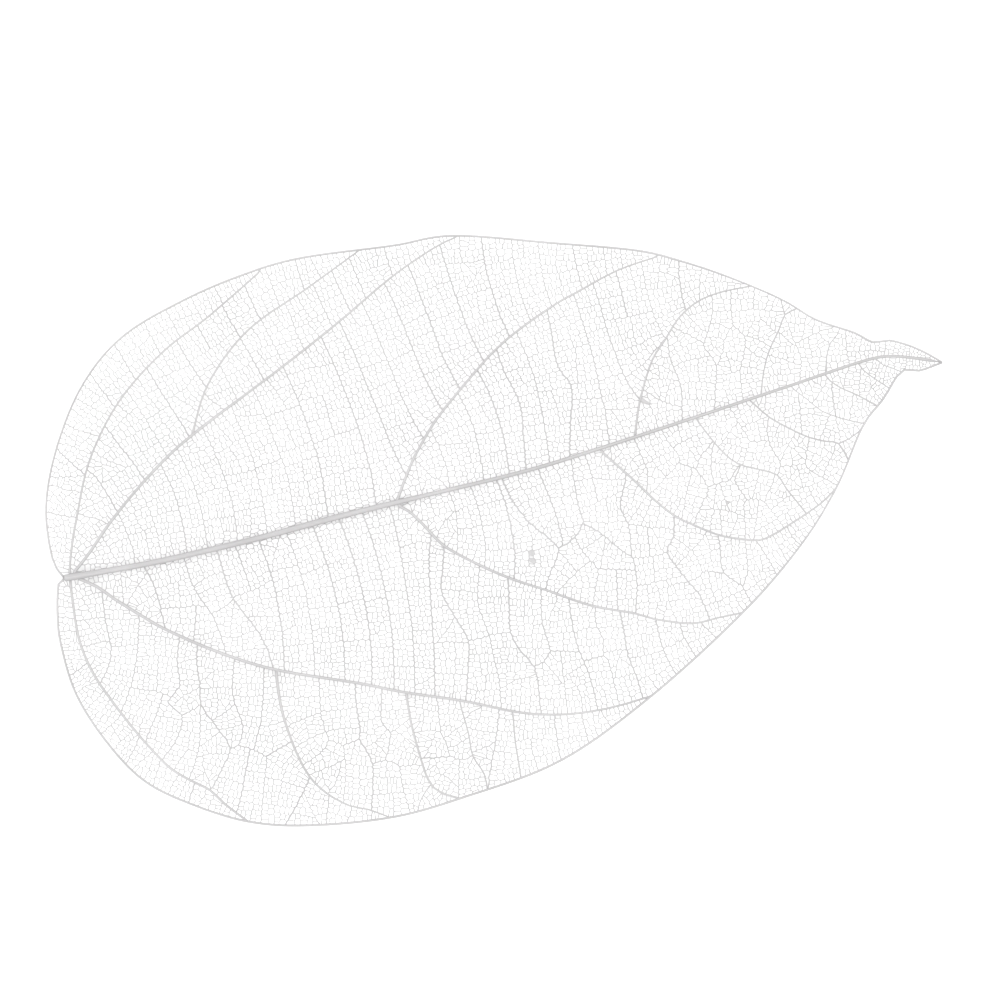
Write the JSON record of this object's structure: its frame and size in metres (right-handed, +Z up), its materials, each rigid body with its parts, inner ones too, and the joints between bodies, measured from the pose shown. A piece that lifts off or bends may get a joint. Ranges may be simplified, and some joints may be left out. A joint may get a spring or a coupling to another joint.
{
  "type": "skeleton leaf",
  "caption": "Bleached leaf skeleton: a broad pointed leaf of bare veins, with a raised midrib, arching side veins and an open net between them, lying flat with its margin gently curled up",
  "frame": {"origin": "on the surface that the leaf lies on, under the middle of the leaf's box", "axes": "+X runs along the midrib from the base to the tip, +Y points across the blade to its upper half in the picture, +Z is up, out of the face with the raised veins"},
  "size_m": [0.092, 0.0564, 0.0036],
  "materials": {
    "bleached_fibre": "matte"
  },
  "bodies": {
    "root": {"skeleton_leaf": "bleached_fibre"}
  },
  "joints": []
}
